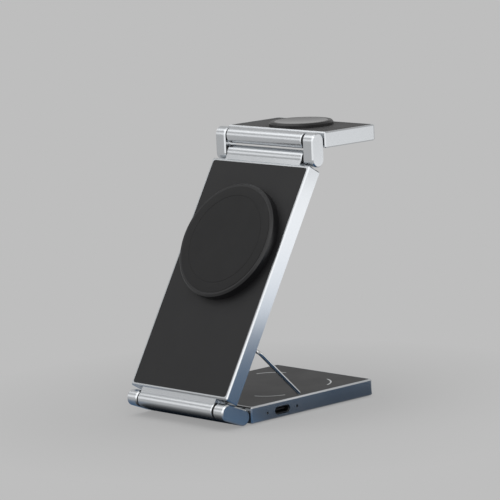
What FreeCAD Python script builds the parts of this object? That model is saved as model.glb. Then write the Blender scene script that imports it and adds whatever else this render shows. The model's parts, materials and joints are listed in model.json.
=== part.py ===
import FreeCAD, Part
import math
import os
import re
import Sketcher

# Folding three-in-one wireless charging stand: a base that charges an earbud case, a leaning
# panel with a magnetic phone puck, and an arm with a watch puck. Two pairs of stadium-shaped
# links, each with two axles, join the three slabs, and a wire bail props the panel on the base.
# Millimetres, +Z up, front towards -Y, charging socket on the +X side. Each slab is drawn lying
# flat: x across it, y away from its hinge axis, z through its thickness, charging face up.

# The driving dimensions, each written once.
DIMENSIONS = [
    # The three slabs.
    ("slab_width", 64.0),
    ("base_thickness", 7.5),
    ("base_length", 83.5),
    ("panel_thickness", 7.8),
    ("panel_span", 123.5),
    ("arm_thickness", 7.4),
    ("arm_length", 38.0),
    ("corner_radius", 1.8),
    ("edge_chamfer", 0.55),
    # How the stand is opened, in degrees from the horizontal.
    ("front_link_tilt", 22.0),
    ("panel_lean_angle", 59.4),
    ("top_link_angle", 90.0),
    # Links, axles and barrels of the two hinges.
    ("front_link_span", 10.1),
    ("top_link_span", 8.3),
    ("ear_radius", 3.75),
    ("ear_width", 6.4),
    ("ear_chamfer", 0.6),
    ("ear_gap", 1.0),
    ("barrel_gap", 1.1),
    ("barrel_chamfer", 0.3),
    ("neck_thickness", 6.0),
    ("axle_radius", 1.5),
    ("wire_way_radius", 0.8),
    ("axle_seat", 4.4),
    ("press_clearance", 0.02),
    ("turning_clearance", 0.05),
    ("washer_radius", 2.9),
    ("washer_clearance", 0.1),
    # Recesses in the slabs, and what closes them.
    ("rim_width", 1.2),
    ("side_ledge", 1.5),
    ("end_ledge", 5.0),
    ("recess_radius", 1.3),
    ("pad_thickness", 1.0),
    ("pad_recess", 0.1),
    ("pad_gap", 0.08),
    ("cover_thickness", 1.0),
    # Screws through the covers.
    ("screw_inset", 6.0),
    ("screw_head_radius", 1.5),
    ("screw_head_height", 0.7),
    ("screw_radius", 0.7),
    ("screw_depth", 3.0),
    # Rubber feet under the base.
    ("foot_radius", 4.0),
    ("foot_height", 0.6),
    ("foot_seat", 0.4),
    ("foot_side_inset", 9.0),
    ("foot_end_inset", 12.0),
    # Charging socket and the two status lights beside it.
    ("port_reach", 24.1),
    ("port_width", 9.0),
    ("port_height", 3.2),
    ("port_depth", 7.3),
    ("port_wall", 0.3),
    ("port_back", 1.2),
    ("port_margin", 0.25),
    ("port_recess", 0.5),
    ("tongue_width", 6.6),
    ("tongue_thickness", 0.7),
    ("tongue_length", 4.6),
    ("light_spacing", 18.7),
    ("light_radius", 0.6),
    ("light_recess", 0.4),
    # Boards.
    ("board_thickness", 0.8),
    ("base_board_length", 32.0),
    ("base_board_lead", 10.7),
    ("base_board_width", 40.0),
    ("panel_board_length", 34.0),
    ("panel_board_width", 44.0),
    ("board_gap", 0.3),
    # Earbud charging coil under the base's pad.
    ("earbud_reach", 48.0),
    ("earbud_coil_radius", 20.0),
    ("earbud_coil_hole", 9.0),
    ("earbud_coil_height", 0.8),
    ("earbud_ferrite_radius", 22.0),
    ("earbud_ferrite_height", 0.6),
    # Phone puck on the panel.
    ("phone_reach", 78.0),
    ("phone_puck_radius", 28.0),
    ("phone_puck_height", 4.6),
    ("phone_roof", 1.5),
    ("phone_face_depth", 0.5),
    ("phone_face_proud", 0.15),
    ("phone_face_radius", 26.2),
    ("puck_wall", 1.0),
    ("puck_chamfer", 0.8),
    ("magnet_width", 3.6),
    ("magnet_height", 2.0),
    ("phone_coil_radius", 22.0),
    ("phone_coil_hole", 10.0),
    ("phone_shield_height", 0.6),
    ("phone_ferrite_height", 1.0),
    # Watch puck on the arm.
    ("watch_reach", 21.4),
    ("watch_puck_radius", 15.0),
    ("watch_puck_height", 2.0),
    ("watch_roof", 1.0),
    ("watch_dish_radius", 12.6),
    ("watch_dish_thickness", 0.7),
    ("watch_dish_hollow", 0.4),
    ("watch_coil_radius", 12.5),
    ("watch_coil_hole", 6.0),
    ("watch_ferrite_height", 0.4),
    ("watch_magnet_radius", 5.0),
    # Wire bail that props the panel, and the saddles it turns in.
    ("wire_radius", 0.9),
    ("bail_inset", 1.1),
    ("bail_bend", 3.0),
    ("bail_rise", 31.8),
    ("bail_standoff", 1.1),
    ("bail_foot_reach", 36.2),
    ("bail_foot_clearance", 0.15),
    ("bail_end_round", 0.5),
    ("saddle_reach", 18.0),
    ("saddle_width", 4.0),
    ("saddle_length", 5.0),
    ("saddle_height", 2.3),
    ("saddle_skirt", 0.9),
    ("saddle_shoulder", 1.25),
]

doc = FreeCAD.newDocument("charging_stand")
sheet = doc.addObject("Spreadsheet::Sheet", "Sizes")
for row, (alias, number) in enumerate(DIMENSIONS, 1):
    sheet.set(f"A{row}", alias.replace("_", " "))
    sheet.set(f"B{row}", str(number))
    sheet.setAlias(f"B{row}", alias)
doc.recompute()

ALIASES = {alias for alias, number in DIMENSIONS}
ACROSS = FreeCAD.Vector(1, 0, 0)
UP = FreeCAD.Vector(0, 0, 1)
NEAR_ZERO = 1e-6
RIGHT_ANGLE = math.pi / 2

# How a sketch names the places on its elements, and its own axes and origin.
START, END, CENTER = 1, 2, 3
H_AXIS, V_AXIS = -1, -2
ORIGIN = (H_AXIS, START)

# Formulas that several sub-parts share.
PLATE_START = "(ear_radius + ear_gap)"
BARREL_WIDTH = "(slab_width - 2 * ear_width - 2 * barrel_gap)"
RECESS_HALF = "(slab_width / 2 - rim_width)"
CAVITY_HALF = "(slab_width / 2 - rim_width - side_ledge)"
PAD_FACE = {
    "base": "(base_thickness / 2 - pad_recess)",
    "panel": "(panel_thickness / 2 - pad_recess)",
    "arm": "(arm_thickness / 2 - pad_recess)",
}
PLATE_END = {
    "base": "base_length",
    "panel": f"(panel_span - {PLATE_START})",
    "arm": "arm_length",
}
PORT_DROP = "(base_thickness / 2 - cover_thickness - board_thickness - port_height / 2)"


def formula(text):
    """Turn a formula of plain size names into one that reads the sheet."""

    def with_sheet(match):
        word = match.group()
        return f"Sizes.{word}" if word in ALIASES else word

    return re.sub(r"[a-z_]+", with_sheet, text)


def value(text):
    """Work a formula of size names out as a number."""
    return float(sheet.evalExpression(formula(text)))


def bind(thing, prop, text):
    """Tie a property of an object to a formula of size names."""
    thing.setExpression(prop, formula(text))


def new_body(label):
    """Start a sub-part."""
    body = doc.addObject("PartDesign::Body", label)
    body.Label = label
    body.AllowCompound = True
    return body


def new_sketch(body, role, offset="0"):
    """Start a sketch on one of the body's own planes, moved along that plane's normal."""
    sketch = body.newObject("Sketcher::SketchObject", f"{body.Label}_sketch")
    plane = next(feature for feature in body.Origin.OriginFeatures if feature.Role == role)
    sketch.AttachmentSupport = [(plane, "")]
    sketch.MapMode = "FlatFace"
    bind(sketch, "AttachmentOffset.Base.z", offset)
    doc.recompute()
    return sketch


def tie(sketch, kind, *places):
    """Add one constraint to a sketch."""
    return sketch.addConstraint(Sketcher.Constraint(kind, *places))


def hold(sketch, kind, geo, pos, text):
    """Hold one coordinate of a sketch point at a formula's value."""
    amount = value(text)
    if abs(amount) < NEAR_ZERO:
        tie(sketch, "PointOnObject", geo, pos, V_AXIS if kind == "DistanceX" else H_AXIS)
    elif amount > 0:
        index = tie(sketch, kind, *ORIGIN, geo, pos, amount)
        bind(sketch, f"Constraints[{index}]", text)
    else:
        index = tie(sketch, kind, geo, pos, *ORIGIN, -amount)
        bind(sketch, f"Constraints[{index}]", f"-({text})")


def hold_point(sketch, geo, pos, x, y):
    """Hold a sketch point at two formulas' values."""
    hold(sketch, "DistanceX", geo, pos, x)
    hold(sketch, "DistanceY", geo, pos, y)


def set_radius(sketch, geo, text):
    """Tie the radius of a circle or arc to a formula."""
    index = tie(sketch, "Radius", geo, value(text))
    bind(sketch, f"Constraints[{index}]", text)


def add_line(sketch, start, end):
    """A straight line between two pairs of numbers."""
    return sketch.addGeometry(Part.LineSegment(FreeCAD.Vector(*start, 0), FreeCAD.Vector(*end, 0)))


def add_arc(sketch, center, radius, first, last):
    """An arc about a pair of numbers, from one angle to another."""
    circle = Part.Circle(FreeCAD.Vector(*center, 0), UP, radius)
    return sketch.addGeometry(Part.ArcOfCircle(circle, first, last))


def close_loop(sketch, loop, kind="Coincident"):
    """Join each element of a closed outline to the one before it."""
    for i in range(len(loop)):
        tie(sketch, kind, loop[i - 1], END, loop[i], START)


def draw_circle(sketch, x, y, radius):
    """A circle whose centre and radius are formulas."""
    center = FreeCAD.Vector(value(x), value(y), 0)
    geo = sketch.addGeometry(Part.Circle(center, UP, value(radius)))
    hold_point(sketch, geo, CENTER, x, y)
    set_radius(sketch, geo, radius)


def draw_polygon(sketch, corners):
    """A closed outline of straight lines through corners given as pairs of formulas."""
    points = [(value(x), value(y)) for x, y in corners]
    lines = [add_line(sketch, start, end) for start, end in zip(points, points[1:] + points[:1])]
    close_loop(sketch, lines)
    for line, (x, y) in zip(lines, corners):
        hold_point(sketch, line, START, x, y)


def draw_rectangle(sketch, x0, x1, y0, y1):
    """A rectangle between four formulas."""
    draw_polygon(sketch, [(x0, y0), (x1, y0), (x1, y1), (x0, y1)])


def draw_rounded(sketch, x0, x1, y0, y1, radius):
    """A rectangle between four formulas, with rounded corners."""
    left, right, low, high = value(x0), value(x1), value(y0), value(y1)
    bend = value(radius)
    inner_left, inner_right = left + bend, right - bend
    inner_low, inner_high = low + bend, high - bend
    runs = [
        ((inner_left, low), (inner_right, low), (inner_right, inner_low)),
        ((right, inner_low), (right, inner_high), (inner_right, inner_high)),
        ((inner_right, high), (inner_left, high), (inner_left, inner_high)),
        ((left, inner_high), (left, inner_low), (inner_left, inner_low)),
    ]
    lines, arcs = [], []
    for turn, (start, end, center) in enumerate(runs):
        begin = (turn - 1) * RIGHT_ANGLE
        lines.append(add_line(sketch, start, end))
        arcs.append(add_arc(sketch, center, bend, begin, begin + RIGHT_ANGLE))
    loop = [geo for pair in zip(lines, arcs) for geo in pair]
    close_loop(sketch, loop, "Tangent")
    for arc in arcs[1:]:
        tie(sketch, "Equal", arcs[0], arc)
    for line, kind in zip(lines, ("Horizontal", "Vertical", "Horizontal", "Vertical")):
        tie(sketch, kind, line)
    set_radius(sketch, arcs[0], radius)
    sides = (("DistanceY", y0), ("DistanceX", x1), ("DistanceY", y1), ("DistanceX", x0))
    for line, (kind, place) in zip(lines, sides):
        hold(sketch, kind, line, START, place)


def draw_stadium(sketch, x0, x1, y, radius):
    """A slot outline: two half circles with centres at x0 and x1 on the line y."""
    first, last, middle, bend = value(x0), value(x1), value(y), value(radius)
    low, high = middle - bend, middle + bend
    start = add_arc(sketch, (first, middle), bend, RIGHT_ANGLE, 3 * RIGHT_ANGLE)
    below = add_line(sketch, (first, low), (last, low))
    end = add_arc(sketch, (last, middle), bend, -RIGHT_ANGLE, RIGHT_ANGLE)
    above = add_line(sketch, (last, high), (first, high))
    close_loop(sketch, [start, below, end, above], "Tangent")
    tie(sketch, "Equal", start, end)
    set_radius(sketch, start, radius)
    hold_point(sketch, start, CENTER, x0, y)
    hold_point(sketch, end, CENTER, x1, y)


def draw_barrel(sketch, axis, direction):
    """A hinge barrel seen from its end: a round on the axis with a neck that runs into the plate."""
    center_y = value(axis)
    half = value("neck_thickness / 2")
    radius = value("ear_radius")
    opening = math.asin(half / radius)
    plate_y = f"{axis} + ({direction}) * ({PLATE_START} + rim_width)"
    end = value(plate_y)
    touch = center_y + direction * radius * math.cos(opening)
    facing = 0 if direction > 0 else math.pi
    arc = add_arc(sketch, (center_y, 0), radius, facing + opening, facing + 2 * math.pi - opening)
    first_z = half * direction
    corners = [(touch, -first_z), (end, -first_z), (end, first_z), (touch, first_z)]
    lines = [add_line(sketch, start, stop) for start, stop in zip(corners, corners[1:])]
    close_loop(sketch, [arc] + lines)
    for line, kind in zip(lines, ("Horizontal", "Vertical", "Horizontal")):
        tie(sketch, kind, line)
    hold_point(sketch, arc, CENTER, axis, "0")
    set_radius(sketch, arc, "ear_radius")
    hold_point(sketch, lines[1], START, plate_y, f"{-direction} * neck_thickness / 2")
    hold(sketch, "DistanceY", lines[1], END, f"{direction} * neck_thickness / 2")


def pad(body, sketch, length, middle=False):
    """Raise a sketch into a solid, along the plane's normal or both ways about it."""
    feature = body.newObject("PartDesign::Pad", f"{body.Label}_pad")
    feature.Profile = sketch
    feature.SideType = "Symmetric" if middle else "One side"
    bind(feature, "Length", length)
    doc.recompute()
    return feature


def pocket(body, sketch, length=None, along=False):
    """Cut a sketch out: right through both ways, or by a length against or along the normal."""
    before = body.Shape.Volume
    feature = body.newObject("PartDesign::Pocket", f"{body.Label}_pocket")
    feature.Profile = sketch
    if length is None:
        feature.Type = "ThroughAll"
        feature.SideType = "Symmetric"
    else:
        bind(feature, "Length", length)
        feature.Reversed = along
    doc.recompute()
    if body.Shape.Volume > before - NEAR_ZERO:
        raise RuntimeError(f"a pocket of {body.Label} cuts nothing")
    return feature


def dress(body, kind, size_name, size, test):
    """Round or chamfer the edges of the body so far that pass a test."""
    base = body.Tip
    names = [f"Edge{i}" for i, edge in enumerate(base.Shape.Edges, 1) if test(edge)]
    feature = body.newObject(f"PartDesign::{kind}", f"{body.Label}_{kind.lower()}")
    feature.Base = (base, names)
    bind(feature, size_name, size)
    doc.recompute()
    return feature


def is_upright(edge):
    """Whether an edge runs along z."""
    box = edge.BoundBox
    return box.XLength < NEAR_ZERO and box.YLength < NEAR_ZERO


def lies_at(edge, axis, place):
    """Whether a whole edge lies in the plane where an axis has a given value."""
    box = edge.BoundBox
    low, high = getattr(box, f"{axis}Min"), getattr(box, f"{axis}Max")
    return abs(low - place) < NEAR_ZERO and abs(high - place) < NEAR_ZERO


def screw_places(slab):
    """Centres of a cover's four screws, as pairs of formulas."""
    near = f"{PLATE_START} + rim_width + end_ledge / 2"
    far = f"{PLATE_END[slab]} - rim_width - end_ledge / 2"
    side = "(slab_width / 2 - screw_inset)"
    return [(f"-{side}", near), (side, near), (f"-{side}", far), (side, far)]


def make_frame(slab):
    """Aluminium frame of a slab: chamfered plate, hinge barrels, stepped recesses and bores."""
    thickness = f"{slab}_thickness"
    half = f"{thickness} / 2"
    end = PLATE_END[slab]
    two_hinges = slab == "panel"
    body = new_body(f"{slab}_frame")
    outline = new_sketch(body, "XY_Plane")
    draw_rectangle(outline, "-slab_width / 2", "slab_width / 2", PLATE_START, end)
    pad(body, outline, thickness, middle=True)
    if not two_hinges:
        far_y = value(end)
        dress(body, "Fillet", "Radius", "corner_radius",
              lambda edge: is_upright(edge) and lies_at(edge, "Y", far_y))
    top = value(half)
    side_x = value("slab_width / 2")

    def is_outer(edge):
        flat = lies_at(edge, "Z", top) or lies_at(edge, "Z", -top)
        square = isinstance(edge.Curve, Part.Line) and abs(abs(edge.BoundBox.XMin) - side_x) < NEAR_ZERO
        hinge_side = abs(edge.BoundBox.YMin - value(PLATE_START)) < NEAR_ZERO or two_hinges
        return flat or (is_upright(edge) and square and hinge_side)

    dress(body, "Chamfer", "Size", "edge_chamfer", is_outer)

    axes = [("0", 1)] + ([("panel_span", -1)] if two_hinges else [])
    for axis, direction in axes:
        profile = new_sketch(body, "YZ_Plane")
        draw_barrel(profile, axis, direction)
        pad(body, profile, BARREL_WIDTH, middle=True)
    barrel_x = value(BARREL_WIDTH) / 2
    reach = value("ear_radius")

    def is_barrel_end(edge):
        flat = lies_at(edge, "X", barrel_x) or lies_at(edge, "X", -barrel_x)
        round_end = isinstance(edge.Curve, Part.Circle) and abs(edge.Curve.Radius - reach) < NEAR_ZERO
        return flat and round_end

    dress(body, "Chamfer", "Size", "barrel_chamfer", is_barrel_end)

    recess_start = f"{PLATE_START} + rim_width"
    recess_end = f"{end} - rim_width"
    front_step = (half, "pad_thickness + pad_recess", False)
    back_step = (f"-{half}", "cover_thickness", True)
    for offset, depth, along in (front_step, back_step):
        step = new_sketch(body, "XY_Plane", offset)
        draw_rounded(step, f"-{RECESS_HALF}", RECESS_HALF, recess_start, recess_end, "recess_radius")
        pocket(body, step, depth, along)
    cavity = new_sketch(body, "XY_Plane")
    cavity_ends = (f"{recess_start} + end_ledge", f"{recess_end} - end_ledge")
    draw_rounded(cavity, f"-{CAVITY_HALF}", CAVITY_HALF, *cavity_ends, "recess_radius")
    pocket(body, cavity)
    for axis, direction in axes:
        bore = new_sketch(body, "YZ_Plane")
        draw_circle(bore, axis, "0", "axle_radius + turning_clearance")
        pocket(body, bore)
    holes = new_sketch(body, "XY_Plane", f"-{half} + cover_thickness")
    for x, y in screw_places(slab):
        draw_circle(holes, x, y, "screw_radius + press_clearance")
    pocket(body, holes, "screw_depth", along=True)
    return body


def cut_port(body):
    """Openings in the base's right side: the socket's slot and a light hole each side of it."""
    side = new_sketch(body, "YZ_Plane", "slab_width / 2")
    round_end = "port_height / 2"
    near = f"port_reach - port_width / 2 + {round_end}"
    far = f"port_reach + port_width / 2 - {round_end}"
    draw_stadium(side, near, far, f"-{PORT_DROP}", f"{round_end} + port_margin")
    for sign in ("-", "+"):
        light_y = f"port_reach {sign} light_spacing / 2"
        draw_circle(side, light_y, f"-{PORT_DROP}", "light_radius + press_clearance")
    pocket(body, side, "rim_width + 2 * side_ledge")


def make_top_pad(slab):
    """Black charging surface that fills the recess in a slab's face."""
    body = new_body(f"{slab}_pad")
    outline = new_sketch(body, "XY_Plane", f"{PAD_FACE[slab]} - pad_thickness")
    half = f"({RECESS_HALF} - pad_gap)"
    start = f"{PLATE_START} + rim_width + pad_gap"
    end = f"{PLATE_END[slab]} - rim_width - pad_gap"
    draw_rounded(outline, f"-{half}", half, start, end, "recess_radius - pad_gap")
    pad(body, outline, "pad_thickness")
    return body


def make_cover(slab):
    """Plate that closes a slab's back, with counterbored screw holes."""
    body = new_body(f"{slab}_cover")
    back = f"-{slab}_thickness / 2"
    outline = new_sketch(body, "XY_Plane", back)
    half = f"({RECESS_HALF} - pad_gap)"
    start = f"{PLATE_START} + rim_width + pad_gap"
    end = f"{PLATE_END[slab]} - rim_width - pad_gap"
    draw_rounded(outline, f"-{half}", half, start, end, "recess_radius - pad_gap")
    pad(body, outline, "cover_thickness")
    head, shank = ("screw_head_radius", "screw_head_height"), ("screw_radius", "cover_thickness")
    for radius, depth in (head, shank):
        holes = new_sketch(body, "XY_Plane", back)
        for x, y in screw_places(slab):
            draw_circle(holes, x, y, f"{radius} + press_clearance")
        pocket(body, holes, depth, along=True)
    return body


def make_screws(slab):
    """The four screws of a cover, heads flush with its outside."""
    body = new_body(f"{slab}_screws")
    heads = new_sketch(body, "XY_Plane", f"-{slab}_thickness / 2")
    for x, y in screw_places(slab):
        draw_circle(heads, x, y, "screw_head_radius")
    pad(body, heads, "screw_head_height")
    shanks = new_sketch(body, "XY_Plane", f"-{slab}_thickness / 2")
    for x, y in screw_places(slab):
        draw_circle(shanks, x, y, "screw_radius")
    pad(body, shanks, "cover_thickness + screw_depth - press_clearance")
    return body


def foot_places():
    """Centres of the base's four feet, as pairs of formulas."""
    side = "(slab_width / 2 - foot_side_inset)"
    near = f"{PLATE_START} + foot_end_inset"
    far = "base_length - foot_end_inset"
    return [(f"-{side}", near), (side, near), (f"-{side}", far), (side, far)]


def seat_feet(cover):
    """Round seats for the feet in the base's cover."""
    seats = new_sketch(cover, "XY_Plane", "-base_thickness / 2")
    for x, y in foot_places():
        draw_circle(seats, x, y, "foot_radius + press_clearance")
    pocket(cover, seats, "foot_seat", along=True)


def make_feet():
    """Four rubber feet that stand out of the base's cover."""
    body = new_body("base_feet")
    rounds = new_sketch(body, "XY_Plane", "-base_thickness / 2 - foot_height")
    for x, y in foot_places():
        draw_circle(rounds, x, y, "foot_radius")
    pad(body, rounds, "foot_height + foot_seat")
    return body


def make_socket_shell():
    """Drawn steel shell of the charging socket, open at the side face and closed at the back."""
    body = new_body("socket_shell")
    outer_round = "port_height / 2"
    near = f"port_reach - port_width / 2 + {outer_round}"
    far = f"port_reach + port_width / 2 - {outer_round}"
    outline = new_sketch(body, "YZ_Plane", "slab_width / 2 - port_recess - port_depth")
    draw_stadium(outline, near, far, f"-{PORT_DROP}", outer_round)
    pad(body, outline, "port_depth")
    mouth = new_sketch(body, "YZ_Plane", "slab_width / 2 - port_recess")
    draw_stadium(mouth, near, far, f"-{PORT_DROP}", f"{outer_round} - port_wall")
    pocket(body, mouth, "port_depth - port_back")
    return body


def make_tongue():
    """Contact tongue that stands out of the socket's back wall."""
    body = new_body("socket_tongue")
    section = new_sketch(body, "YZ_Plane", "slab_width / 2 - port_recess - port_depth + port_back")
    half = "tongue_thickness / 2"
    near, far = "port_reach - tongue_width / 2", "port_reach + tongue_width / 2"
    draw_rectangle(section, near, far, f"-{PORT_DROP} - {half}", f"-{PORT_DROP} + {half}")
    pad(body, section, "tongue_length")
    return body


def make_light_pipes():
    """Two clear light pipes, set back a little in the holes beside the socket."""
    body = new_body("light_pipes")
    rounds = new_sketch(body, "YZ_Plane", CAVITY_HALF)
    for sign in ("-", "+"):
        draw_circle(rounds, f"port_reach {sign} light_spacing / 2", f"-{PORT_DROP}", "light_radius")
    pad(body, rounds, "rim_width + side_ledge - light_recess")
    return body


def make_board(label, slab, x_end, width, y_start, length):
    """Circuit board that lies on the inside of a cover."""
    body = new_body(label)
    outline = new_sketch(body, "XY_Plane", f"-{slab}_thickness / 2 + cover_thickness")
    draw_rectangle(outline, f"{x_end} - {width}", x_end, y_start, f"{y_start} + {length}")
    pad(body, outline, "board_thickness")
    return body


def make_ring(label, reach, outer, hole, bottom, height):
    """Flat ring or disc that lies parallel to a slab's face."""
    body = new_body(label)
    outline = new_sketch(body, "XY_Plane", bottom)
    draw_circle(outline, "0", reach, outer)
    if hole:
        draw_circle(outline, "0", reach, hole)
    pad(body, outline, height)
    return body


def make_puck(name, slab, face_radius, face_depth):
    """Round housing on a slab's pad: chamfered cup with a seat for its face and room for its coil."""
    radius, height = f"{name}_puck_radius", f"{name}_puck_height"
    body = make_ring(f"{name}_puck", f"{name}_reach", radius, None, PAD_FACE[slab], height)
    top = value(f"{PAD_FACE[slab]} + {height}")
    dress(body, "Chamfer", "Size", "puck_chamfer", lambda edge: lies_at(edge, "Z", top))
    seat = new_sketch(body, "XY_Plane", f"{PAD_FACE[slab]} + {height}")
    draw_circle(seat, "0", f"{name}_reach", face_radius)
    pocket(body, seat, face_depth)
    room = new_sketch(body, "XY_Plane", PAD_FACE[slab])
    draw_circle(room, "0", f"{name}_reach", f"{radius} - puck_wall")
    pocket(body, room, f"{height} - {name}_roof", along=True)
    return body


def make_watch_dish():
    """Turned dish that a watch's back sits in: hollow top, flat underside."""
    body = new_body("watch_dish")
    profile = new_sketch(body, "XZ_Plane")
    edge = "watch_dish_radius - press_clearance"
    rim, thick, hollow = value(edge), value("watch_dish_thickness"), value("watch_dish_hollow")
    sphere = (rim * rim + hollow * hollow) / (2 * hollow)
    center_z = thick - hollow + sphere
    spread = math.asin(rim / sphere)
    arc = add_arc(profile, (0, center_z), sphere, -RIGHT_ANGLE, -RIGHT_ANGLE + spread)
    corners = [(rim, thick), (rim, 0), (0, 0), (0, thick - hollow)]
    lines = [add_line(profile, start, end) for start, end in zip(corners, corners[1:])]
    close_loop(profile, [arc] + lines)
    tie(profile, "PointOnObject", arc, CENTER, V_AXIS)
    hold_point(profile, lines[0], START, edge, "watch_dish_thickness")
    hold_point(profile, lines[1], START, edge, "0")
    hold_point(profile, lines[2], START, "0", "0")
    hold_point(profile, lines[2], END, "0", "watch_dish_thickness - watch_dish_hollow")
    turned = body.newObject("PartDesign::Revolution", "watch_dish_turned")
    turned.Profile = profile
    turned.ReferenceAxis = (profile, ["V_Axis"])
    turned.Angle = 360
    doc.recompute()
    return body


def make_ear(label, span, side):
    """Stadium-shaped hinge link with chamfered edges and two blind axle holes in its inner face."""
    body = new_body(label)
    inner = f"({BARREL_WIDTH} / 2 + barrel_gap)"
    start = inner if side > 0 else f"-{inner} - ear_width"
    outline = new_sketch(body, "YZ_Plane", start)
    draw_stadium(outline, "0", span, "0", "ear_radius")
    pad(body, outline, "ear_width")
    ends = [value(start), value(f"{start} + ear_width")]
    dress(body, "Chamfer", "Size", "ear_chamfer",
          lambda edge: any(lies_at(edge, "X", end) for end in ends))
    seats = new_sketch(body, "YZ_Plane", f"{'' if side > 0 else '-'}{inner}")
    for axis in ("0", span):
        draw_circle(seats, axis, "0", "axle_radius + press_clearance")
    pocket(body, seats, "axle_seat", along=side > 0)
    return body


def make_axle(label, axis):
    """Hollow axle that joins two ears through a barrel and lets the wires pass."""
    body = new_body(label)
    section = new_sketch(body, "YZ_Plane")
    draw_circle(section, axis, "0", "axle_radius")
    draw_circle(section, axis, "0", "wire_way_radius")
    pad(body, section, f"{BARREL_WIDTH} + 2 * (barrel_gap + axle_seat)", middle=True)
    return body


def make_washers(label, span):
    """Four friction washers, one beside each end of the two barrels of a hinge."""
    body = new_body(label)
    inner = f"({BARREL_WIDTH} / 2 + washer_clearance)"
    for start in (inner, f"-{BARREL_WIDTH} / 2 - barrel_gap"):
        section = new_sketch(body, "YZ_Plane", start)
        for axis in ("0", span):
            draw_circle(section, axis, "0", "washer_radius")
            draw_circle(section, axis, "0", "axle_radius + press_clearance")
        pad(body, section, "barrel_gap - washer_clearance")
    return body


def make_bail(length):
    """Bent steel wire: a crossbar that turns on the panel's back and two legs with rounded ends."""
    body = new_body("prop_bail")
    half, bend = value("slab_width / 2 - bail_inset"), value("bail_bend")
    route = new_sketch(body, "XY_Plane")
    inner = half - bend
    left_leg = add_line(route, (-half, length), (-half, bend))
    left_bend = add_arc(route, (-inner, bend), bend, 2 * RIGHT_ANGLE, 3 * RIGHT_ANGLE)
    crossbar = add_line(route, (-inner, 0), (inner, 0))
    right_bend = add_arc(route, (inner, bend), bend, -RIGHT_ANGLE, 0)
    right_leg = add_line(route, (half, bend), (half, length))
    run = [left_leg, left_bend, crossbar, right_bend, right_leg]
    for first, second in zip(run, run[1:]):
        tie(route, "Tangent", first, END, second, START)
    tie(route, "Horizontal", crossbar)
    tie(route, "Vertical", left_leg)
    tie(route, "Equal", left_bend, right_bend)
    set_radius(route, left_bend, "bail_bend")
    hold(route, "DistanceX", left_leg, START, "bail_inset - slab_width / 2")
    hold(route, "DistanceX", right_leg, END, "slab_width / 2 - bail_inset")
    hold(route, "DistanceY", crossbar, START, "0")
    tie(route, "DistanceY", *ORIGIN, left_leg, START, length)
    tie(route, "DistanceY", *ORIGIN, right_leg, END, length)
    doc.recompute()
    section = new_sketch(body, "XZ_Plane", f"-{length}")
    draw_circle(section, "bail_inset - slab_width / 2", "0", "wire_radius")
    doc.recompute()
    wire = body.newObject("PartDesign::AdditivePipe", "prop_bail_wire")
    wire.Profile = section
    wire.Spine = route
    doc.recompute()
    dress(body, "Fillet", "Radius", "bail_end_round", lambda edge: lies_at(edge, "Y", length))
    return body


def make_saddles():
    """Two saddles on the panel's back that the bail's crossbar turns in."""
    body = new_body("bail_saddles")
    standoff = "panel_thickness / 2 + bail_standoff"
    foot = "-panel_thickness / 2"
    for start in ("saddle_reach - saddle_width / 2", "-saddle_reach - saddle_width / 2"):
        section = new_sketch(body, "YZ_Plane", start)
        near, far = "bail_rise - saddle_length / 2", "bail_rise + saddle_length / 2"
        skirt, crown = f"{foot} - saddle_skirt", f"{foot} - saddle_height"
        draw_polygon(section, [
            (near, foot),
            (far, foot),
            (far, skirt),
            (f"{far} - saddle_shoulder", crown),
            (f"{near} + saddle_shoulder", crown),
            (near, skirt),
        ])
        draw_circle(section, "bail_rise", f"-({standoff})", "wire_radius + turning_clearance")
        pad(body, section, "saddle_width")
    return body


def point_at(start, angle, reach):
    """The point a distance away from another, at an angle from the horizontal."""
    turn = math.radians(angle)
    return (start[0] + reach * math.cos(turn), start[1] + reach * math.sin(turn))


def place(bodies, axis, angle):
    """Set sub-parts that are drawn flat at their hinge axis, turned about it."""
    for body in bodies:
        body.Placement = FreeCAD.Placement(FreeCAD.Vector(0, *axis), FreeCAD.Rotation(ACROSS, angle))


# Where the hinge axes lie at rest, seen from the right, as (y, z). The origin is below the middle.
lean = value("panel_lean_angle")
link_turn = 180 - value("front_link_tilt")
front_reach = point_at((0, 0), link_turn, value("front_link_span"))
panel_reach = point_at(front_reach, lean, value("panel_span"))
arm_reach = point_at(panel_reach, value("top_link_angle"), value("top_link_span"))
foremost = front_reach[0] - value("ear_radius")
rearmost = max(arm_reach[0] + value("arm_length"), value("base_length"))
base_axis = (-(foremost + rearmost) / 2, value("foot_height + base_thickness / 2"))
front_axis = (base_axis[0] + front_reach[0], base_axis[1] + front_reach[1])
panel_axis = (base_axis[0] + panel_reach[0], base_axis[1] + panel_reach[1])
arm_axis = (base_axis[0] + arm_reach[0], base_axis[1] + arm_reach[1])

# The bail turns just off the panel's back, and its legs reach down to the base's rim.
bail_axis = point_at(point_at(front_axis, lean, value("bail_rise")), lean - 90,
                     value("panel_thickness / 2 + bail_standoff"))
bail_foot = (base_axis[0] + value("bail_foot_reach"),
             base_axis[1] + value("base_thickness / 2 + wire_radius + bail_foot_clearance"))
bail_length = math.hypot(bail_foot[0] - bail_axis[0], bail_foot[1] - bail_axis[1])
bail_turn = math.degrees(math.atan2(bail_foot[1] - bail_axis[1], bail_foot[0] - bail_axis[0]))

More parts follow.
